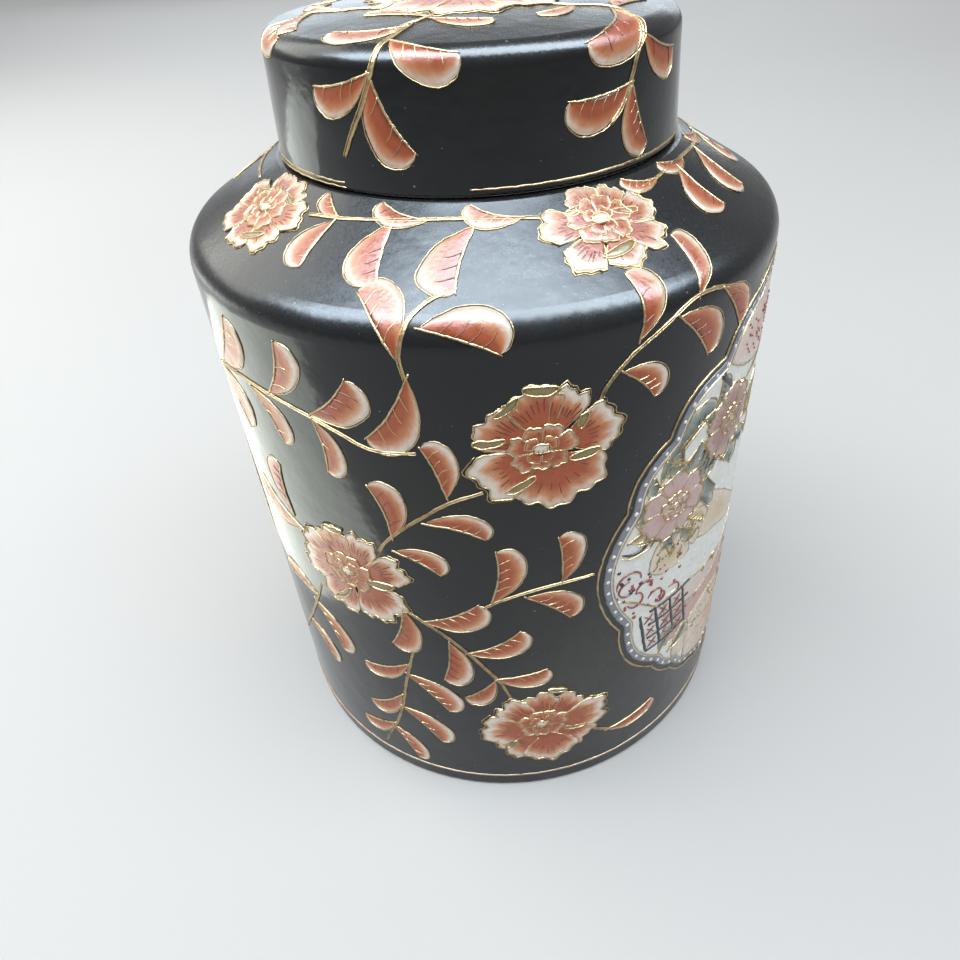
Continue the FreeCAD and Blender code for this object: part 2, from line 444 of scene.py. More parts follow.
def turnover(paint, gold, board, x, y, length, width, angle, lift):
    """A petal's folded-back edge: an olive patch with a gilt outline."""
    cos, sin = math.cos(math.radians(angle)), math.sin(math.radians(angle))
    ring = []
    for a in np.linspace(0, math.tau, 13)[:-1]:
        swell = 1 + rng.uniform(-0.22, 0.22)
        p = 0.55 * length * math.cos(a)
        q = 0.4 * width * math.sin(a) * swell + 0.06 * length * math.cos(a) ** 2
        ring.append((x + p * cos - q * sin, y + p * sin + q * cos))
    paint.blob(board, ring, lift, lambda share: OLIVE, rings=3)
    gold.stroke(board, smooth(ring, 0.7, closed=True), 0.5, lift + 0.16, closed=True, wobble=0.05)


CUP = (
    (112, 30, 7.4), (60, 28, 7.8), (164, 28, 8.8), (14, 26, 8.8), (-142, 30, 7.8), (-38, 30, 8),
    (-90, 34, 6.4), (140, 36, 4.6), (40, 36, 4.8), (-50, 40, 4.2), (-130, 40, 4.4),
)


def peony(
    paint, gold, board, petals, turnovers=(),
    size=1.0, cup=(0.0, 0.0), stops=PETAL_TINT, deep=CORAL_DEEP, base=0.0,
):
    """An open peony: outer petals as (way, spread, reach, pale), folded edges, and a cup of small petals."""
    order = sorted(range(len(petals)), key=lambda k: petals[k][2])
    for level, k in enumerate(order):
        way, spread, reach, pale = petals[k]
        lift = base + 0.24 + 0.05 * level
        near, far = 3.5 * size, reach * size
        petal(paint, gold, board, (0, 0), way, 1.2 * spread, near, far, pale, lift, stops, deep=deep)
    for x, y, length, width, angle in turnovers:
        turnover(paint, gold, board, x * size, y * size, length * size, width * size, angle, base + 0.66)
    middle = (cup[0] * size, cup[1] * size)
    for level, (way, spread, reach) in enumerate(CUP):
        far = reach * size * rng.uniform(0.94, 1.06)
        pale = rng.uniform(0.0, 0.35)
        lift = base + 0.62 + 0.025 * level
        petal(paint, gold, board, middle, way, spread, 1.2 * size, far, pale, lift, stops, 3, deep)
    heart = []
    for a in np.linspace(0, math.tau, 10)[:-1]:
        reach = size * 2.6 * rng.uniform(0.8, 1.1)
        heart.append((middle[0] + reach * math.cos(a), middle[1] + 0.6 * size + 0.62 * reach * math.sin(a)))
    paint.blob(board, heart, base + 1.05, lambda share: mix(IVORY, stops[-2][1], share), rings=4)
    rim = smooth(heart, 0.7, closed=True)
    gold.stroke(board, rim, 0.45, base + 1.12, closed=True, wobble=0.08)
    for k in range(5):
        x = size * (cup[0] - 2.2 + 1.1 * k)
        y = size * (cup[1] + 0.6 + rng.uniform(-0.6, 0.6))
        curl = [(x, y - 1.0 * size), (x + 0.5 * size, y), (x - 0.1 * size, y + 1.0 * size)]
        gold.stroke(board, smooth(curl, 0.5), 0.4, base + 1.18)


# ---- Sprays, by turn and run

# Each leaf is base turn, base run, tip turn, tip run, belly side and how plump it is.
JAR_LEAVES = (
    # spray that comes in from the left, high on the wall
    (-59.5, 169.5, -51, 188.5, -1, 0.46), (-41.5, 171, -36.5, 189, -1, 0.44),
    (-47.5, 169, -41, 154.5, 1, 0.42), (-32, 169.5, -23.5, 183, -1, 0.48),
    (-31.8, 167.5, -31, 150.5, 1, 0.4), (-64, 164, -54, 150, 1, 0.5),
    # sprig that climbs over the shoulder
    (-14.3, 191, -21.5, 206.5, -1, 0.44), (-13.2, 186, -21.5, 166, 1, 0.4),
    (-10.6, 198.5, 1, 192.3, 1, 0.48),
    # sprig left of the upper peony
    (-9.3, 148.5, -12.5, 165, -1, 0.42), (-20.5, 130.5, -23.3, 149, -1, 0.42),
    (-13.8, 138, -3.5, 133, 1, 0.36), (-20.5, 124.8, -12.3, 117.8, 1, 0.46),
    # sprig towards the picture panel
    (-3.4, 106.5, -1.8, 127.5, -1, 0.38), (9.9, 112.5, 9.4, 130.5, -1, 0.42),
    (3.2, 107.5, 11.5, 95.5, 1, 0.42),
    # spray between the left and the low peony
    (-17, 95.2, -6, 105, -1, 0.4), (-21.3, 98.5, -25, 80, 1, 0.42),
    (-12.6, 86, -14.6, 66, 1, 0.4), (-9, 81.6, 1.6, 91.8, -1, 0.4),
    (-3.6, 68, 6.6, 71, -1, 0.44), (-4, 67, -10.6, 57, 1, 0.42),
    # sprig at the lower left
    (-22.6, 70, -34, 61.5, 1, 0.34), (-23.2, 64, -14.6, 47.5, 1, 0.36),
    (-26, 49.5, -35.3, 37, 1, 0.34), (-26.2, 42, -17.6, 26.5, 1, 0.36),
    (-29.8, 28, -39.3, 21.5, 1, 0.36), (-30.3, 26, -24.6, 10, 1, 0.36),
    # left of the left peony
    (-45.5, 122.5, -45.5, 142, 1, 0.42), (-43.8, 118, -57, 127, 1, 0.4),
    (-46, 84, -58.5, 81, -1, 0.3), (-47.5, 79, -41, 60.5, 1, 0.42),
    (-54, 60, -46.5, 46.5, 1, 0.4),
    # spray above the picture panel
    (19.8, 181.6, 26, 171.4, 1, 0.46), (29.8, 192, 37.4, 177, 1, 0.44),
    (40, 194, 46.6, 179.8, 1, 0.42), (22.3, 189.6, 22.8, 206.5, -1, 0.42),
    (33.9, 195.6, 36, 212.5, -1, 0.4),
    # right of the low peony
    (21, 23.5, 33.5, 27, -1, 0.3),
    # ring on the shoulder, below and then above its stem
    (-33.4, 224.8, -35.2, 210.6, -1, 0.42), (-19.5, 226.5, -19, 209.5, -1, 0.46),
    (-2, 226, -5.5, 207.6, -1, 0.44), (55, 228.3, 55.2, 212.6, -1, 0.44),
    (71, 228, 69, 211.2, -1, 0.44), (88, 227.5, 88, 212, -1, 0.44),
    (-33.2, 226.4, -39, 232.2, 1, 0.44), (-12, 227.8, -23.5, 232.2, 1, 0.36),
    (8, 227.4, -3, 232, 1, 0.38), (45, 228.9, 35, 232.2, 1, 0.36),
    (60, 229.6, 49.5, 232.4, 1, 0.34), (84, 228, 75.5, 232.4, 1, 0.36),
)
JAR_STEMS = (
    ((-69, 159), (-64, 164), (-58, 168), (-50, 170.4), (-41, 170.4), (-33, 168.8), (-27, 166), (-21, 162.4),
     (-13.4, 163)),
    ((-6.8, 208), (-10, 205), (-12.4, 200), (-13.8, 192), (-13.4, 185)),
    ((-3.2, 150.5), (-9, 146.6), (-13.6, 141), (-18, 135), (-22, 128), (-23.8, 123)),
    ((-5.6, 103), (-2, 107), (4, 110.4), (9.5, 111.8), (16.2, 112.2)),
    ((-21.8, 100.4), (-17.4, 95.2), (-13, 89.4), (-8.6, 81), (-5, 72), (-3.2, 67), (-1.8, 61), (-0.8, 56)),
    ((-20.6, 78.5), (-22.4, 68), (-24, 58), (-26, 44), (-28.8, 30), (-31.6, 20), (-33.8, 11)),
    ((-43, 92), (-46, 82), (-51, 68), (-56, 56), (-62, 42)),
    ((15.8, 173), (17, 178.5), (21, 185.6), (26, 190.4), (32, 195.2), (38, 195.4), (43, 192.6), (48, 187.6)),
    ((16, 31.5), (18.5, 27), (22, 23.2)),
    ((-41, 224.8), (-38.4, 225.4), (-33, 225.8), (-23.5, 227), (-10, 228), (0, 228), (7.5, 227.2),
     (12, 226.4)),
    ((36, 227), (44.5, 228.8), (53, 229.8), (62, 229.8), (71, 228.8), (82, 227.8), (92, 227), (108, 226)),
)
# Each peony is turn, run, petals, folded edges, size and where its cup sits.
JAR_PEONIES = (
    (7.5, 164,
     ((103, 27, 18.2, 0.15), (66, 19, 17.4, 0.9), (12, 26, 19.2, 0.8), (-70, 47, 20, 0.45),
      (213, 27, 20.6, 0.95), (155, 22, 18.6, 0.35), (133, 12, 16.4, 0.1)),
     ((-14.6, 2.6, 7.5, 3.2, 5), (10, -4.6, 8, 3.4, 8), (-7, -12, 8.5, 3.2, 32), (-1.5, 17.2, 8, 3.6, -4),
      (-9.6, 13, 7.5, 2.6, 42), (9.2, 6.6, 2.2, 6, -20)), 1, (-1.6, -0.6)),
    (-31, 109,
     ((117, 27, 18.4, 0.35), (70, 20, 18, 0.75), (24, 20, 19.6, 0.75), (-52, 36, 19.4, 0.9),
      (-122, 26, 20.4, 0.6), (190, 20, 21, 0.8), (155, 17, 20.4, 0.7)),
     ((9.5, -1, 9, 4, 4), (-6.2, -12.4, 10, 2.6, 44), (-4.5, 17.2, 7, 2.8, 5)), 1, (-2, 0.4)),
    (6, 38,
     ((132, 20, 20, 0.7), (95, 22, 19.4, 0.3), (58, 22, 19, 0.4), (10, 24, 22.2, 0.8), (-35, 24, 19.6, 0.5),
      (-82, 32, 20.8, 0.6), (-132, 26, 19.6, 0.6), (182, 26, 21.4, 0.9)),
     ((11, -4, 8, 2.8, -12), (-12, -9, 5, 3.2, 40), (4.5, 20.6, 6, 2.4, -14)), 1, (-1, 2.4)),
    (-55.5, 220.8,
     ((105, 28, 13.5, 0.5), (50, 22, 14.4, 0.6), (8, 20, 17, 0.8), (-38, 24, 14.6, 0.9),
      (-95, 26, 13, 0.9), (-150, 24, 16.4, 0.9), (170, 22, 16.8, 0.8)),
     ((5, -8, 8, 2.6, 24), (-8, 4, 6, 2.6, 30), (8, 6, 6, 2.4, -20)), 0.94, (0, 0.5)),
    (23.5, 221.2,
     ((100, 30, 12.6, 0.4), (44, 22, 13.6, 0.5), (8, 20, 16.6, 0.8), (-30, 20, 16, 0.8),
      (-78, 26, 13.4, 0.9), (-133, 22, 15.2, 0.95), (172, 22, 15.8, 0.6)),
     ((1, -8.6, 9, 3, 14), (-6, 5.4, 5, 3, 20), (8.4, 2, 7, 2.6, -12)), 0.96, (0, 1)),
)
LID_LEAVES = (
    (-25, 27.8, -41, 24, 1, 0.4), (-24.2, 27.4, -15, 10.6, -1, 0.42),
    (-20.8, 37.4, -3.6, 32, -1, 0.5), (-22, 47.5, -42.5, 40.5, 1, 0.46),
    (39.5, 21, 21.5, 19.4, 1, 0.4), (40.2, 20.4, 46.4, 5.4, -1, 0.44),
    (44.2, 31.4, 60, 25.6, -1, 0.46), (50.5, 44.4, 27, 31.4, 1, 0.38),
    (-76, 42, -59.5, 33, -1, 0.46),
)
LID_STEMS = (
    ((-21, 50), (-21.6, 41), (-22.4, 33.3), (-24, 27.8), (-27, 21.2), (-31.6, 13.4), (-34.2, 8.6)),
    ((50.5, 44), (46.8, 35.5), (44.7, 31.7), (42, 27.6), (39.8, 22.2), (37, 16.6), (33, 12.6)),
    ((-98, 49.5), (-88, 46.5), (-77, 42)),
)
# Leaves on the crown round its big peony, as base x, base y, reach x, reach y, belly side and plumpness.
CROWN_LEAVES = (
    (-11, -31.5, -15.5, 7.6, -1, 0.26), (-9.5, -33.8, 14.2, -3.6, -1, 0.4), (25.5, -26, -9.5, -8, 1, 0.34),
    (36.5, -25.6, 9.5, 11.4, 1, 0.36), (-42.5, -6, -1.6, -20, -1, 0.3), (-33, -12.5, -10.5, 19, 1, 0.24),
)
CROWN_STEMS = (
    ((-9, -30), (-12, -34), (-16, -38), (-19, -42.5)),
    ((18, -24), (26, -25.4), (33, -25), (37, -28), (39, -35)),
    ((-22, -16), (-30, -13), (-38, -9), (-46, -5)),
)
CROWN_PEONY = (
    ((-92, 26, 27, 0.8), (-45, 24, 27.5, 0.5), (2, 26, 26, 0.8), (48, 24, 27.5, 0.6),
     (95, 26, 26.5, 0.8), (142, 24, 27, 0.5), (190, 26, 26, 0.9), (228, 18, 27, 0.6)),
    ((12, -16, 8, 3, -50), (-16, -6, 8, 3, 20), (6, 18, 9, 3.2, 20), (-12, 13, 7, 2.8, -30)),
)

# ---- The panel, in millimetres from its middle

PANEL_TURN, PANEL_RUN = 65.0, 107.0
PANEL_CORNERS = (
    (-16, 78), (-34.5, 64), (-55, 47), (-68, 25.5), (-68, -27), (-52, -58), (-41, -69), (-26, -80),
    (-10, -84),
)
PANEL_BULGES = (3.0, 4.5, 3.5, 8.7, 5.0, 1.5, 2.0, 2.0)
PANEL_TOP_BULGE, PANEL_FOOT_BULGE = 4.0, 2.0
BAND_MIDDLE, BAND_WIDTH = 3.4, 2.9
PICTURE_INSET = 5.2
SAGE_TINT = ((0.0, INK), (0.25, SAGE), (0.7, SAGE_PALE), (1.0, WHITE))
OLIVE_TINT = ((0.0, OLIVE), (0.5, OCHRE), (1.0, WHITE))
MAUVE_TINT = ((0.0, BRICK), (0.25, MAUVE), (0.6, MAUVE), (0.85, LILAC), (1.0, IVORY))
LILAC_TINT = ((0.0, OCHRE), (0.22, ROSE), (0.5, LILAC), (0.8, LILAC), (1.0, IVORY))


def panel_outline(step=1.9):
    """The lobed outline, counter-clockwise: outward arcs between inward corners."""
    left = [np.array(c, float) for c in PANEL_CORNERS]
    right = [c * (-1, 1) for c in left[::-1]]
    corners = left + right
    bulges = list(PANEL_BULGES) + [PANEL_FOOT_BULGE] + list(PANEL_BULGES[::-1]) + [PANEL_TOP_BULGE]
    points = []
    for a, b, bulge in zip(corners, corners[1:] + corners[:1], bulges):
        way = b - a
        out = np.array([way[1], -way[0]]) / np.linalg.norm(way)
        count = max(4, round(np.linalg.norm(way) / step))
        for t in np.arange(count) / count:
            points.append(a + way * t + out * bulge * 4 * t * (1 - t))
    return np.array(points)


def panel_frame(ground, band, gold, board):
    """White ground, a lavender band with white beads, and the gilt lines either side of the band."""
    outline = panel_outline()
    inward = sideways(outline, closed=True)
    edge = outline + inward * (BAND_MIDDLE + 0.4 * BAND_WIDTH)
    grid = edge[:, None, :] * np.linspace(1, 0.02, 36)[None, :, None]
    tints = [WHITE] * (grid.shape[0] * grid.shape[1])
    ground.sheet(board, grid[..., 0], grid[..., 1], np.full(grid.shape[:2], 0.18), tints, wrap=True)
    path = outline + inward * BAND_MIDDLE
    band.stroke(board, path, BAND_WIDTH, 0.34, LAVENDER, closed=True)
    gold.stroke(board, outline, 0.8, 0.4, closed=True, wobble=0.06)
    gold.stroke(board, outline + inward * PICTURE_INSET, 0.5, 0.42, closed=True, wobble=0.06)
    walked = np.concatenate([[0], np.cumsum(np.linalg.norm(np.diff(path, axis=0), axis=1))])
    for bead in np.arange(2.0, walked[-1], 5.3):
        x, y = np.interp(bead, walked, path[:, 0]), np.interp(bead, walked, path[:, 1])
        ground.dot(board, x, y, rng.uniform(0.65, 0.85), 0.6, WHITE)


def inside_band(board):
    """The same drawing board, on which nothing reaches past the gilt line inside the panel's band."""
    outline = panel_outline()
    rim = outline + sideways(outline, closed=True) * (PICTURE_INSET + 0.3)
    angles, reach = np.arctan2(rim[:, 1], rim[:, 0]), np.hypot(*rim.T)
    order = np.argsort(angles)

    def kept(x, y, lift):
        limit = np.interp(np.arctan2(y, x), angles[order], reach[order], period=math.tau)
        scale = np.minimum(1, limit / np.maximum(np.hypot(x, y), 1e-6))
        return board(x * scale, y * scale, lift)

    return kept


def wash(paint, gold, board, outline, middle, edge, level=0):
    """A flat patch of thin colour that changes from its middle to its edge, with a fine gilt outline."""
    lift = 0.28 + 0.03 * level
    ragged = [(x + rng.uniform(-0.9, 0.9), y + rng.uniform(-0.9, 0.9)) for x, y in outline]

    def tint(share):
        return mix(middle, edge, share + rng.uniform(-0.12, 0.12))

    paint.blob(board, ragged, lift, tint, step=1.5, rings=12, edge_lift=0.85)
    rim = smooth(ragged, 1.5, closed=True)
    gold.stroke(board, rim, 0.34, lift + 0.12, closed=True, wobble=0.12)


def bank(paint, gold, board, top, foot, left, right, middle, edge, level):
    """A strip of ground between two heights, with a wavy top edge and tufts along it."""
    xs = np.linspace(left, right, 15)
    crest = [(x, top + 2.2 * math.sin(0.11 * x + 1.7 * level)) for x in xs]
    wash(paint, gold, board, [(x, foot) for x in xs] + crest[::-1], middle, edge, level)
    for _ in range(7):
        x, y = rng.uniform(left + 6, right - 6), top + rng.uniform(-4.5, -1.5)
        for lean in (-1.4, 0.0, 1.4):
            blade = smooth([(x, y), (x + 0.5 * lean, y + 1.6), (x + lean, y + 2.6)], 0.8)
            gold.stroke(board, blade, 0.4, 0.62)


def curl(paint, board, x, y, radius, start, sweep, colour, width=0.8):
    """A brush arc round (x, y), from an angle start over sweep degrees."""
    points = []
    for share in np.linspace(0, 1, 12):
        angle = math.radians(start + sweep * share)
        reach = radius * (1 - 0.25 * share)
        points.append((x + reach * math.cos(angle), y + reach * math.sin(angle)))
    paint.stroke(board, points, width, 0.62, colour, taper=(0.5, 0.6))


def dots(paint, board, count, low, high, colour, radius=0.55):
    """Scattered dots between two corners."""
    for _ in range(count):
        x, y = rng.uniform(low[0], high[0]), rng.uniform(low[1], high[1])
        paint.dot(board, x, y, radius * rng.uniform(0.8, 1.2), 0.62, colour)


def rock(paint, gold, board, x, y, width, height):
    """A pierced garden rock: an ochre wash with a ragged top, ink dots and gilt dashes."""
    outline = []
    for angle in np.linspace(0, math.tau, 15)[:-1]:
        swell = rng.uniform(0.8, 1.15)
        p, q = 0.5 * width * math.cos(angle), 0.5 * height * math.sin(angle)
        outline.append((x + swell * p, y + swell * q))
    wash(paint, gold, board, outline, OCHRE, IVORY, 4)
    across, up = 0.35 * width, 0.35 * height
    dots(paint, board, 14, (x - across, y - up), (x + across, y + up), OLIVE)
    for _ in range(9):
        a, b = x + rng.uniform(-across, across), y + rng.uniform(-up, up)
        dash = smooth([(a, b), (a + 1.4, b + 1.8), (a + 1.0, b + 3.2)], 0.7)
        gold.stroke(board, dash, 0.5, 0.75)


def fence(paint, board, x, y, width, height, lean):
    """A lattice fence of ink bars, with a small brick cross in each opening."""
    steps = 3
    for k in range(steps + 1):
        across = k / steps
        rising = [(x + width * across, y), (x + width * across - lean, y + height)]
        level = [(x, y + height * across), (x + width, y + height * across + 0.35 * lean)]
        for bar in (rising, level):
            paint.stroke(board, smooth(bar, 1.5), 1.5, 0.66, INK, taper=(0.8, 0.7), wobble=0.1)
    for i in range(steps):
        for j in range(steps):
            a = x + width * (i + 0.5) / steps - lean * (j + 0.5) / steps
            b = y + height * (j + 0.5) / steps
            for tilt in (-1, 1):
                cross = [(a - 1.9, b - 1.9 * tilt), (a + 1.9, b + 1.9 * tilt)]
                paint.stroke(board, smooth(cross, 1.0), 0.6, 0.6, BRICK, taper=(0.5, 0.5))


PANEL_PETALS = (
    (90, 30, 18.6, 0.4), (38, 24, 19, 0.5), (-8, 24, 19.5, 0.6), (-55, 26, 18.6, 0.7),
    (-105, 26, 18.9, 0.6), (-155, 26, 19.2, 0.4), (155, 26, 18.9, 0.4), (122, 20, 18, 0.3),
)
# Each panel leaf is start x, y, reach x, y, belly side, plumpness and whether it is dark.
PANEL_LEAVES = (
    (-57, 32, 19, 15, 1, 0.36, 1), (-55, 31, 14, 8, -1, 0.4, 1), (-50, 42, 14, 6, 1, 0.44, 1),
    (-42, 48, 7, -12, 1, 0.5, 1), (-40, 38, 9, -12, -1, 0.5, 1), (-36, 47, 2, 10, -1, 0.5, 1),
    (-34, 30, 10, -9, 1, 0.5, 1), (-36, 24, 8, -10, -1, 0.5, 1), (-28, 24, 10, -8, 1, 0.5, 1),
    (-22, 26, 12, -6, 1, 0.4, 1), (-40, 16, 8, -9, 1, 0.4, 1), (-65, 20, 8, 6, -1, 0.5, 0),
    (-67, 13, 9, 5, -1, 0.44, 0), (-63, 10, 8, -2, 1, 0.4, 0), (-44, 10, 10, -8, 1, 0.36, 0),
    (-55, 2, 4, 10, -1, 0.5, 1), (-48, 1, -2, 10, 1, 0.5, 1), (-49, -52, 8, 10, 1, 0.4, 1),
    (-44, -56, 8, 9, -1, 0.4, 1), (-8, 30, 12, 8, 1, 0.4, 1), (-6, 24, 14, -4, -1, 0.4, 1),
    (12, 40, 10, 10, 1, 0.4, 1), (40, 30, 12, 10, -1, 0.44, 1), (38, 16, 10, -10, 1, 0.44, 1),
    (-53, 26, -6, 9, 1, 0.42, 1), (-55, 39, 12, -6, -1, 0.42, 1), (-46, 30, -3, 12, 1, 0.5, 1),
    (-33, 33, -8, -8, -1, 0.5, 1), (-40, 24, 11, 2, 1, 0.46, 1), (-44, 34, -10, 5, 1, 0.46, 1),
    (-59, 27, -2, -9, -1, 0.42, 1), (-46, 8, 8, -5, -1, 0.5, 1), (54, 12, 10, 6, 1, 0.4, 0),
    (30, 44, -8, 10, 1, 0.44, 1), (22, 6, 12, -6, 1, 0.4, 0), (48, -6, 10, -8, 1, 0.4, 1),
)
PANEL_BRANCHES = (
    ((-50, -1), (-53, 8), (-50, 20), (-38, 31), (-26, 39)),
    ((-26, 39), (-12, 31), (0, 28), (14, 34), (28, 30)),
    ((28, 30), (40, 20), (47, 2), (40, -5)),
    ((-26, 39), (-16, 47), (-2, 50), (10, 56)),
    ((28, 30), (36, 42), (32, 52)),
)
# Each curl is x, y, radius, start angle and sweep.
PANEL_CURLS = (
    (-65, -5, 5.2, 200, -200), (-66, -8, 3.6, 80, 230), (-59, -11, 3.6, 200, -220),
    (-63, -15, 3.6, 90, -250), (-54, -18, 3.4, 170, -200), (-52, -20, 2.4, 90, -280),
    (-46, -22, 4.2, 120, -150), (40, -26, 4.0, 20, 220), (50, -18, 4.0, 60, 230),
)


def panel_picture(paint, foliage, gold, board):
    """A garden: peonies among dark foliage, rocks, fences and scrolls. Its right half is invented."""
    board = inside_band(board)
    blossom = (
        (-31, 62), (-22, 70), (-12, 77), (0, 78), (12, 77), (22, 70), (32, 62), (24, 54), (12, 56), (4, 50),
        (-10, 51), (-24, 55),
    )
    wash(paint, gold, board, blossom, ROSE, IVORY)
    dots(paint, board, 60, (-22, 55), (22, 69), BRICK)
    sweep = ((-39, 12), (-30, 12), (-24, 8), (-14, 0), (-2, -9), (4, -14), (-8, -14), (-22, -9), (-36, -4))
    wash(paint, gold, board, sweep, OCHRE, IVORY)
    bank(paint, gold, board, -25, -37, -48, 66, LILAC, IVORY, 0)
    bank(paint, gold, board, -34, -50, -47, 62, ROSE, LILAC, 1)
    bank(paint, gold, board, -46, -64, -40, 56, OCHRE, IVORY, 2)
    bank(paint, gold, board, -58, -80, -32, 46, PEACH, IVORY, 3)
    for branch in PANEL_BRANCHES:
        foliage.stroke(board, smooth(branch, 1.4), 1.3, 0.5, OLIVE, taper=(0.9, 0.4), wobble=0.12)
        gold.stroke(board, smooth(branch, 1.4), 0.4, 0.62, wobble=0.12)
    dots(paint, board, 24, (-36, -57), (4, -48), OLIVE)
    dots(paint, board, 12, (-70, -14), (-44, 2), INK, 0.7)
    dots(paint, board, 26, (-70, -24), (-42, -4), BRICK, 0.7)
    dots(paint, board, 18, (30, -20), (60, 0), BRICK)
    for x, y, dx, dy, side, plump, dark in PANEL_LEAVES:
        leaf(foliage, gold, board, (x, y), (dx, dy), side, plump, SAGE_TINT if dark else OLIVE_TINT, 0.55)
    rock(paint, gold, board, -50, -1, 18, 17)
    rock(paint, gold, board, -39, 2, 10, 12)
    rock(paint, gold, board, 36, -6, 22, 20)
    for x, y, radius, start, sweep in PANEL_CURLS:
        curl(paint, board, x, y, radius, start, sweep, BRICK)
    fence(paint, board, -56, -46, 20, 21, 4)
    fence(paint, board, 30, -56, 15, 20, -6)
    paint.stroke(board, smooth(((-35, 61), (-33, 57), (-27, 51))), 2.6, 0.7, INK, taper=(0.3, 0.4))
    paint.stroke(board, smooth(((-69, 9), (-66, 7.6), (-62, 7.8), (-59, 10))), 1.1, 0.7, INK)
    gold.stroke(board, smooth(((-69, 7.4), (-66, 6.2), (-60, 6.8), (-57, 9))), 0.6, 0.75)
    gold.stroke(board, smooth(((-69, -12), (-64, -15), (-58, -20), (-49, -28))), 0.7, 0.75)
    for x, y, size, stops in (
        (-26, 39, 0.66, MAUVE_TINT), (-50.5, 20, 0.66, LILAC_TINT),
        (28, 30, 0.72, LILAC_TINT), (47, 2, 0.56, MAUVE_TINT),
    ):
        peony(paint, gold, shifted(board, x, y), PANEL_PETALS, size=size, stops=stops, deep=None, base=0.4)


# ---- Materials


class Wiring:
    """A material and short ways to wire its nodes. An input takes a socket or a plain value."""

    def __init__(self, name):
        self.material = bpy.data.materials.new(name)
        self.material.use_nodes = True
        self.tree = self.material.node_tree
        self.shader = self.tree.nodes["Principled BSDF"]
        self.place = self.tree.nodes.new("ShaderNodeTexCoord").outputs["Object"]

    def wire(self, socket, value):
        if isinstance(value, bpy.types.NodeSocket):
            self.tree.links.new(value, socket)
        elif isinstance(value, tuple) and len(value) == 3 and socket.type == "RGBA":
            socket.default_value = (*value, 1)
        else:
            socket.default_value = value

    def surface(self, **values):
        for name, value in values.items():
            self.wire(self.shader.inputs[name.replace("_", " ")], value)

    def math(self, operation, a, b=0.0):
        node = self.tree.nodes.new("ShaderNodeMath")
        node.operation = operation
        self.wire(node.inputs[0], a)
        self.wire(node.inputs[1], b)
        return node.outputs[0]

    def noise(self, scale, detail=3.0, stretch=(1, 1, 1)):
        spread = self.tree.nodes.new("ShaderNodeMapping")
        self.wire(spread.inputs["Vector"], self.place)
        spread.inputs["Scale"].default_value = stretch
        node = self.tree.nodes.new("ShaderNodeTexNoise")
        self.wire(node.inputs["Vector"], spread.outputs[0])
        self.wire(node.inputs["Scale"], scale)
        self.wire(node.inputs["Detail"], detail)
        return node.outputs["Fac"]

    def specks(self, scale, size):
        """1 on sparse small specks and 0 elsewhere."""
        cells = self.tree.nodes.new("ShaderNodeTexVoronoi")
        self.wire(cells.inputs["Vector"], self.place)
        self.wire(cells.inputs["Scale"], scale)
        chance = self.tree.nodes.new("ShaderNodeSeparateColor")
        self.wire(chance.inputs[0], cells.outputs["Color"])
        near = self.math("LESS_THAN", cells.outputs["Distance"], size)
        return self.math("MULTIPLY", near, self.math("LESS_THAN", chance.outputs[0], 0.3))

    def range(self, value, low, high, out_low, out_high):
        node = self.tree.nodes.new("ShaderNodeMapRange")
        for socket, number in zip(node.inputs, (value, low, high, out_low, out_high)):
            self.wire(socket, number)
        return node.outputs[0]

    def mix(self, share, a, b, blend="MIX"):
        node = self.tree.nodes.new("ShaderNodeMix")
        node.data_type = "RGBA"
        node.blend_type = blend
        self.wire(node.inputs[0], share)
        self.wire(node.inputs[6], a)
        self.wire(node.inputs[7], b)
        return node.outputs[2]

    def bump(self, height, strength, distance):
        node = self.tree.nodes.new("ShaderNodeBump")
        self.wire(node.inputs["Height"], height)
        node.inputs["Strength"].default_value = strength
        node.inputs["Distance"].default_value = distance
        self.wire(self.shader.inputs["Normal"], node.outputs[0])


GLAZE_DARK = (0.0045, 0.0055, 0.0085)
GLAZE_WARM = (0.0100, 0.0100, 0.0095)
# Lighter grey of the film on the lower wall, partly a painted reflection of the floor
FILM_AND_FLOOR_REFLECTION = (0.060, 0.058, 0.052)
DUST = (0.30, 0.32, 0.33)
LINING, LINING_SHADE = (0.74, 0.77, 0.74), (0.66, 0.71, 0.68)
BISQUE, BISQUE_SHADE = (0.62, 0.55, 0.46), (0.46, 0.38, 0.30)


def from_axis(w):
    """The distance from the axis and the height, both in millimetres."""
    parts = w.tree.nodes.new("ShaderNodeSeparateXYZ")
    w.wire(parts.inputs[0], w.place)
    x, y, z = (w.math("MULTIPLY", parts.outputs[i], 1000.0) for i in range(3))
    radius = w.math("SQRT", w.math("ADD", w.math("MULTIPLY", x, x), w.math("MULTIPLY", y, y)))
    return radius, z


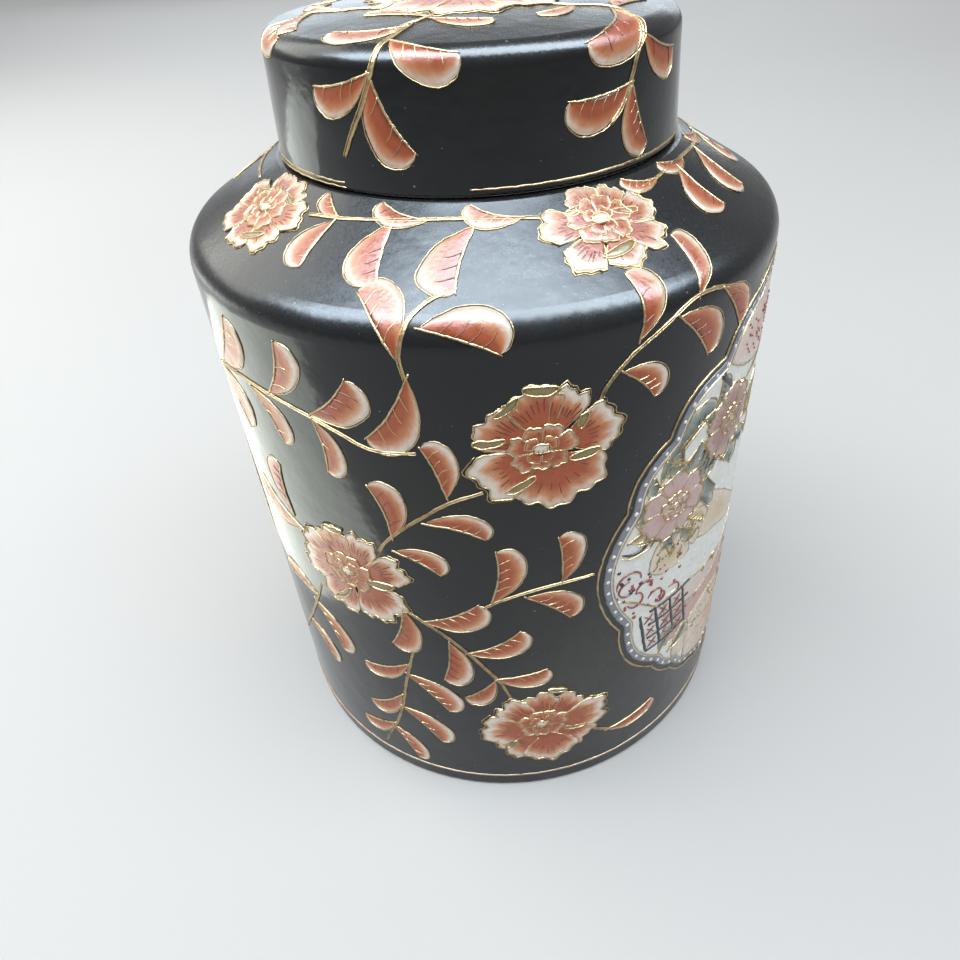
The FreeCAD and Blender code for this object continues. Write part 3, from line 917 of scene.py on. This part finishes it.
def glaze(name, is_lining, is_bare, satin_above):
    """Blue-black glaze, duller above a height, white where is_lining, and bare porcelain where is_bare.
    Towards the bottom it is streaked lighter grey: a dull film that is partly a painted reflection of the
    floor.
    """
    w = Wiring(name)
    radius, height = from_axis(w)
    lining, bare = is_lining(w, radius, height), is_bare(w, radius, height)
    cloud = w.range(w.noise(14, 4), 0.35, 0.7, 0.0, 1.0)
    dark = w.mix(cloud, GLAZE_DARK, GLAZE_WARM)
    low = w.range(height, 40, 130, 1.0, 0.1)
    # Lighter grey streaks towards the bottom: a dull film, partly a painted reflection of the floor
    film_and_reflection = w.math("MULTIPLY", w.range(w.noise(16, 5, (1, 1, 0.4)), 0.42, 0.72, 0.0, 0.8), low)
    dark = w.mix(film_and_reflection, dark, FILM_AND_FLOOR_REFLECTION)
    dust = w.math("MAXIMUM", w.specks(170, 0.05), w.specks(420, 0.06))
    dark = w.mix(w.math("MULTIPLY", dust, 0.55), dark, DUST)
    colour = w.mix(lining, dark, w.mix(w.noise(30), LINING, LINING_SHADE))
    colour = w.mix(bare, colour, w.mix(w.noise(260, 5), BISQUE, BISQUE_SHADE))
    rough = w.math("ADD", w.range(w.noise(55, 4), 0.3, 0.7, 0.08, 0.14), w.math("MULTIPLY", film_and_reflection, 0.3))
    mottle = w.range(w.noise(1500, 3), 0.3, 0.7, 0.13, 0.21)
    satin = w.math("MULTIPLY", w.range(height, satin_above - 4, satin_above + 4, 0.0, 1.0), mottle)
    rough = w.math("ADD", w.math("ADD", rough, satin), w.math("MULTIPLY", bare, 0.5))
    w.surface(Base_Color=colour, Roughness=rough, IOR=1.42)
    ripple = w.math("ADD", w.noise(110, 2), w.math("MULTIPLY", w.noise(700, 3), 0.12))
    sway = w.noise(22, 2, (1, 1, 0.5))
    w.bump(w.math("ADD", ripple, w.math("MULTIPLY", sway, 2.5)), 0.14, 0.0012)
    return w.material


def jar_lining(w, radius, height):
    """Inside the wall, under the shoulder and in the throat."""
    slope = (LEDGE[1] - JAR_SHOULDER) / (JAR_RADIUS - LEDGE[0])
    peak = JAR_SHOULDER - SHOULDER_DEPTH + slope * JAR_RADIUS
    roof = w.math("SUBTRACT", peak, w.math("MULTIPLY", radius, slope))
    roof = w.math("MINIMUM", roof, THROAT)
    below, within = w.math("LESS_THAN", height, roof), w.math("LESS_THAN", radius, JAR_RADIUS - JAR_DEPTH)
    return w.math("MAXIMUM", w.math("MULTIPLY", below, within), w.math("LESS_THAN", radius, NECK_MIDDLE))


def jar_bare(w, radius, height):
    """The foot ring and the top of the neck."""
    standing = w.math("LESS_THAN", height, FOOT_RING_TOP)
    return w.math("MAXIMUM", standing, w.math("GREATER_THAN", height, NECK_LIP))


def lid_lining(w, radius, height):
    """Under the crown."""
    bend = (LID_TOP - LID_EDGE[1]) / LID_EDGE[0] ** 2
    sag = w.math("MULTIPLY", w.math("MULTIPLY", radius, radius), bend)
    roof = w.math("SUBTRACT", LID_TOP - LID_DEPTH, sag)
    within = w.math("LESS_THAN", radius, LID_EDGE[0] - LID_DEPTH)
    return w.math("MULTIPLY", w.math("LESS_THAN", height, roof), within)


def lid_bare(w, radius, height):
    """The edge that stands on the jar."""
    return w.math("LESS_THAN", height, LID_RIM[1] + 0.25)


def enamel(name):
    """Painted enamel: the colour each point carries, a little uneven, over a brushed surface."""
    w = Wiring(name)
    tint = w.tree.nodes.new("ShaderNodeVertexColor")
    tint.layer_name = "tint"
    shade = w.range(w.noise(420, 4), 0.3, 0.7, 0.90, 1.06)
    grey = w.tree.nodes.new("ShaderNodeCombineColor")
    for socket in grey.inputs:
        w.wire(socket, shade)
    colour = w.mix(1.0, tint.outputs["Color"], grey.outputs[0], "MULTIPLY")
    rough = w.range(w.noise(300, 3), 0.3, 0.7, 0.24, 0.42)
    w.surface(Base_Color=colour, Roughness=rough, IOR=1.5)
    w.bump(w.noise(900, 4), 0.25, 0.0004)
    return w.material


def gilding(name, bright, worn, wear, metal):
    """Antique gold, duller and browner where it is worn, with painted glints: spots of pale gold mixed into
    its colour.
    """
    w = Wiring(name)
    rubbed = w.range(w.noise(240, 5), 0.62 - wear, 0.80 - wear, 0.0, 1.0)
    colour = w.mix(rubbed, bright, worn)
    # Painted glints: pale gold mixed in on small spots
    colour = w.mix(w.range(w.noise(900, 3), 0.5, 0.75, 0.0, 0.25), colour, (0.90, 0.76, 0.50))
    rough = w.range(w.noise(600, 4), 0.3, 0.7, 0.26, 0.46)
    w.surface(Base_Color=colour, Roughness=rough, Metallic=metal)
    w.bump(w.noise(1300, 4), 0.5, 0.0003)
    return w.material


# ---- The decorated jar and lid


def on_wall(wall, turned, turn, run, tip_turn, tip_run):
    """A board at a leaf's foot and the reach to its tip, from the turns and runs of both."""
    reach = (math.radians(tip_turn - turn) * wall.radius_at(run), tip_run - run)
    return wall.patch(turn + turned, run), reach


def stem(gold, board, points):
    """A flat gilt band between two raised lines."""
    middle = np.array(smooth(points, 1.2))
    side = sideways(middle)
    gold.stroke(board, middle, 0.85, 0.2, taper=(0.7, 0.6), wobble=0.03)
    for way in (-1, 1):
        line = middle + side * 0.36 * way
        gold.stroke(board, line, 0.34, LINE_LIFT, taper=(0.8, 0.6), wobble=0.05)


def sprays(paint, gold, wall, turned, leaves, stems):
    """Leaves and stems given by turn and run."""
    for turn, run, tip_turn, tip_run, side, plump in leaves:
        board, reach = on_wall(wall, turned, turn, run, tip_turn, tip_run)
        leaf(paint, gold, board, (0, 0), reach, side, plump)
    for spots in stems:
        turn, run = spots[0]
        board = wall.patch(turn + turned, run)
        radius = wall.radius_at(run)
        stem(gold, board, [(math.radians(t - turn) * radius, r - run) for t, r in spots])


def gilt_ring(gold, wall, run, width, start, end):
    """A gilt line round a wall from one turn to another."""
    board = wall.patch(0, run)
    turns = np.radians(np.arange(start, end + 0.6, 1.2))
    path = np.column_stack([turns * wall.radius_at(run), turns * 0])
    gold.stroke(board, path, width, 0.3, wobble=0.05)


coral = enamel("coral_enamel_look")
picture = enamel("panel_enamel_look")
gilt = gilding("gilding_look", (0.43, 0.31, 0.16), (0.18, 0.12, 0.07), 0.10, 0.75)
pale_gilt = gilding("foot_gilding_look", (0.40, 0.28, 0.19), (0.24, 0.17, 0.12), 0.08, 0.35)

for place, turned in (("front", 0), ("back", BEHIND)):
    paint = Layer(f"jar_{place}_flowers", "jar", coral, "coral_enamel")
    gold = Layer(f"jar_{place}_gilding", "jar", gilt, "gilding")
    sprays(paint, gold, JAR, turned, JAR_LEAVES, JAR_STEMS)
    for turn, run, petals, folds, size, cup in JAR_PEONIES:
        peony(paint, gold, JAR.patch(turn + turned, run), petals, folds, size, cup)
    paint.finish()
    gold.finish()

for place, turned in (("right", 0), ("left", BEHIND)):
    board = JAR.patch(PANEL_TURN + turned, PANEL_RUN)
    ground = Layer(f"panel_{place}_ground", "jar", picture, "ivory_enamel")
    band = Layer(f"panel_{place}_band", "jar", picture, "lavender_enamel")
    paint = Layer(f"panel_{place}_picture", "jar", picture, "mauve_enamel")
    foliage = Layer(f"panel_{place}_foliage", "jar", picture, "green_enamel")
    gold = Layer(f"panel_{place}_gilding", "jar", gilt, "gilding")
    panel_frame(ground, band, gold, board)
    panel_picture(paint, foliage, gold, board)
    for layer in (ground, band, paint, foliage, gold):
        layer.finish()

paint = Layer("lid_flowers", "lid", coral, "coral_enamel")
gold = Layer("lid_gilding", "lid", gilt, "gilding")
for turned in (0, BEHIND):
    sprays(paint, gold, LID, turned, LID_LEAVES, LID_STEMS)
    crown = LID.top(0, 0, turned)
    for x, y, dx, dy, side, plump in CROWN_LEAVES:
        leaf(paint, gold, crown, (x, y), (dx, dy), side, plump)
    for points in CROWN_STEMS:
        stem(gold, crown, points)
petals, folds = CROWN_PEONY
peony(paint, gold, LID.top(0, -3), petals, folds, 1.0, (0.0, 0.0))
gilt_ring(gold, LID, 2.0, 1.0, -3, 325)
gilt_ring(gold, LID, 0.9, 0.5, -70, -35)
paint.finish()
gold.finish()

foot_line = Layer("foot_line", "jar", pale_gilt, "gilding")
gilt_ring(foot_line, JAR, 6.8, 1.9, 0, 360)
foot_line.finish()

for node, lining, bare, satin_above in (
    ("jar_body", jar_lining, jar_bare, 192),
    ("lid", lid_lining, lid_bare, 245),
):
    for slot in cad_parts[node].material_slots:
        slot.material = glaze(f"{node}_glaze_look", lining, bare, satin_above)

# ---- Floor, light and camera


def floor():
    """A pale floor that runs off in every direction."""
    bpy.ops.mesh.primitive_plane_add(size=60, location=(0, 0, 0))
    plane = bpy.context.object
    plane.name = "floor"
    w = Wiring("floor_look")
    w.surface(Base_Color=w.mix(w.noise(3), (0.46, 0.46, 0.455), (0.49, 0.49, 0.485)), Roughness=0.8)
    plane.data.materials.append(w.material)


def soft_light(name, place, aim, width, height, power, colour, diffuse=True, glossy=True):
    """A soft box. Without diffuse it only shows as a reflection, and without glossy it is never reflected."""
    lamp = bpy.data.lights.new(name, "AREA")
    lamp.shape = "RECTANGLE"
    lamp.size, lamp.size_y = width, height
    lamp.energy = power
    lamp.color = colour
    held = bpy.data.objects.new(name, lamp)
    held.location = place
    held.rotation_euler = (Vector(aim) - Vector(place)).to_track_quat("-Z", "Y").to_euler()
    held.visible_diffuse = diffuse
    held.visible_glossy = glossy
    held.visible_camera = False
    bpy.context.scene.collection.objects.link(held)


EYE = (0.0, -0.2345, 0.2803)
LOOK_DOWN, PAN, ROLL = 36.651, -0.687, 3.753


def camera():
    """Close above the shoulder, looking down. Its frame is shifted, so that the jar stands off the middle."""
    lens = bpy.data.cameras.new("camera")
    lens.sensor_width = 36.0
    lens.lens = 27.65
    lens.shift_x, lens.shift_y = -0.0277, -0.0635
    lens.clip_start = 0.01
    held = bpy.data.objects.new("camera", lens)
    down = math.radians(LOOK_DOWN)
    ahead = Vector((0, math.cos(down), -math.sin(down)))
    right = Vector((1, 0, 0))
    up = right.cross(ahead)
    pan = Matrix.Rotation(math.radians(PAN), 3, up)
    ahead, right = pan @ ahead, pan @ right
    roll = Matrix.Rotation(math.radians(ROLL), 3, ahead)
    right, up = roll @ right, roll @ up
    held.matrix_world = Matrix.Translation(EYE) @ Matrix((right, up, -ahead)).transposed().to_4x4()
    bpy.context.scene.collection.objects.link(held)
    bpy.context.scene.camera = held


floor()
NEAR_BOUNCE = (-0.31, 0.05)
FAR_BOUNCE = (-1.0, 0.35)
COOL, SKY, BLUE = (0.95, 0.98, 1.0), (0.71, 0.86, 1.0), (0.80, 0.91, 1.0)
GREENISH, PALE_GREEN = (0.93, 1.0, 0.88), (0.93, 1.0, 0.92)
soft_light("overhead", (0, -0.42, 1.7), (0, -0.42, 0), 2.6, 1.0, 31, COOL)
soft_light("far_floor", (0, 2.1, 1.9), (0, 2.1, 0), 5.0, 1.6, 32, (0.97, 0.98, 1.0), glossy=False)
soft_light("window", (-1.1, 0.5, 0.9), (-0.35, 0.1, 0), 1.0, 1.0, 12, (1.0, 1.0, 0.94))
soft_light("skylight", (0, -0.40, 1.71), (0, -0.40, 0), 4.4, 0.95, 335, SKY, diffuse=False)
soft_light("far_wall", (0, 2.5, 0.65), (0, 0, 0.25), 3.0, 0.8, 19, BLUE, diffuse=False)
soft_light("near_bounce", (*NEAR_BOUNCE, 0.01), (*NEAR_BOUNCE, 1.0), 0.36, 0.38, 0.9, GREENISH, diffuse=False)
soft_light("far_bounce", (*FAR_BOUNCE, 0.01), (*FAR_BOUNCE, 1.0), 0.7, 0.5, 2.5, PALE_GREEN, diffuse=False)
camera()

world = bpy.data.worlds.new("studio")
world.use_nodes = True
background = world.node_tree.nodes["Background"]
background.inputs["Color"].default_value = (0.98, 0.97, 0.96, 1)
background.inputs["Strength"].default_value = 0.41
bpy.context.scene.world = world
bpy.context.scene.view_settings.view_transform = "Standard"
